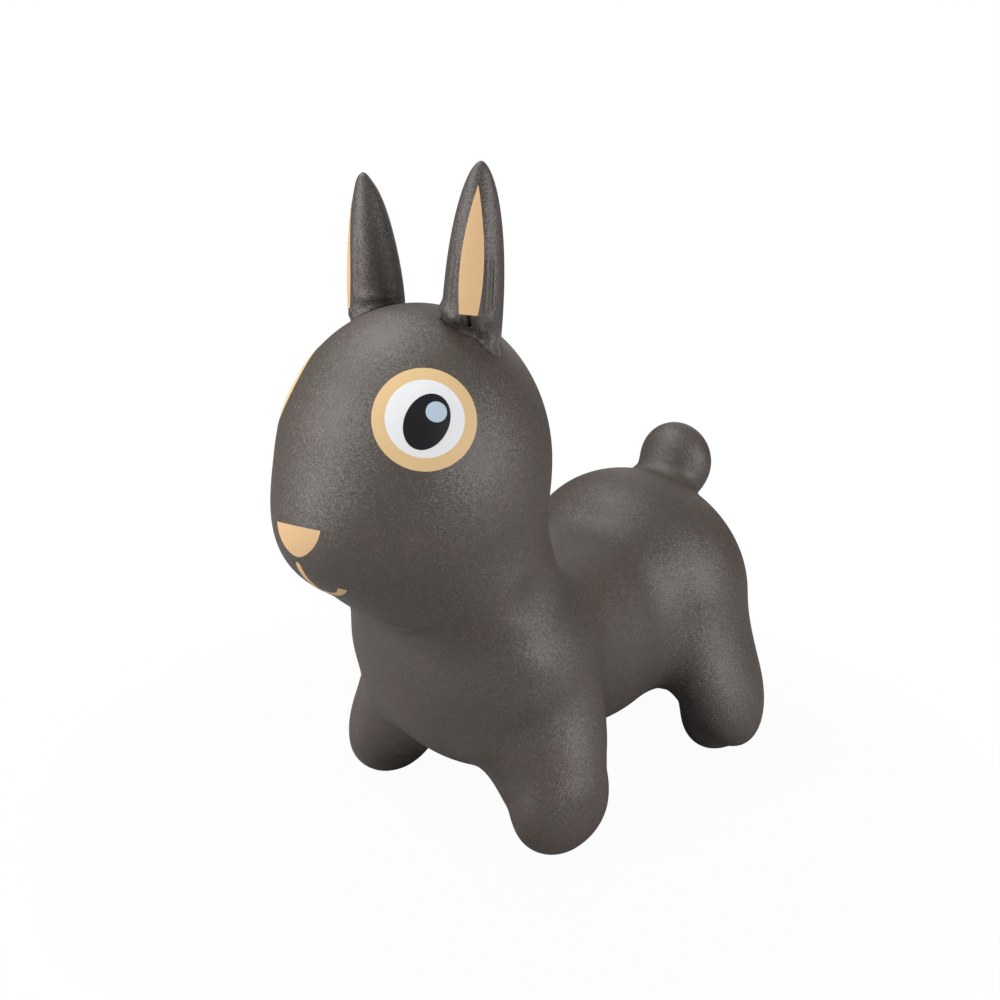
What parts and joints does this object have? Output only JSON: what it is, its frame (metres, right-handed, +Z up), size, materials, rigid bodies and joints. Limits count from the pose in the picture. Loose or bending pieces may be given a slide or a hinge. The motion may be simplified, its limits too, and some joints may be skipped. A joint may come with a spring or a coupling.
{
  "type": "animal hopper",
  "caption": "Inflatable ride-on rabbit with a plump hollow skin, soft upright ears to hold, a printed face, a ball tail and a pull-out valve stopper under the belly.",
  "frame": {"origin": "on the floor, under the middle of the box round the whole toy", "axes": "the rabbit faces -Y, its left side is +X and +Z is up"},
  "size_m": [0.2894, 0.5127, 0.5561],
  "materials": {
    "skin": "satin soft vinyl with fine glitter",
    "ear": "satin soft vinyl",
    "tan_film": "sprayed tan, satin",
    "white_film": "printed white, satin",
    "black_film": "printed black, satin",
    "pale_film": "printed pale blue, satin",
    "stopper": "smooth moulded white"
  },
  "bodies": {
    "skin": {"body_skin": "skin", "eye_ring_left": "tan_film", "eye_ring_right": "tan_film", "eye_white_left": "white_film", "eye_white_right": "white_film", "eye_pupil_left": "black_film", "eye_pupil_right": "black_film", "eye_glint_left": "pale_film", "eye_glint_right": "pale_film", "nose": "tan_film", "mouth": "tan_film"},
    "left_ear": {"ear_left": "ear", "ear_lining_left": "tan_film"},
    "right_ear": {"ear_right": "ear", "ear_lining_right": "tan_film"},
    "stopper": {"valve_plug": "stopper"}
  },
  "joints": [
    {"name": "left_ear_bend", "type": "hinge", "parent": "skin", "child": "left_ear", "pos_m": [0.05162, -0.12595, 0.44125], "axis": [0.8126, 0.5796, -0.061], "range_deg": [-20, 20], "stiffness_Nm_per_rad": 2.2},
    {"name": "right_ear_bend", "type": "hinge", "parent": "skin", "child": "right_ear", "pos_m": [-0.05162, -0.12595, 0.44125], "axis": [0.8126, -0.5796, 0.061], "range_deg": [-20, 20], "stiffness_Nm_per_rad": 2.2},
    {"name": "stopper_pull", "type": "slide", "parent": "skin", "child": "stopper", "axis": [0, 0, -1], "range_m": [0, 0.025]}
  ]
}
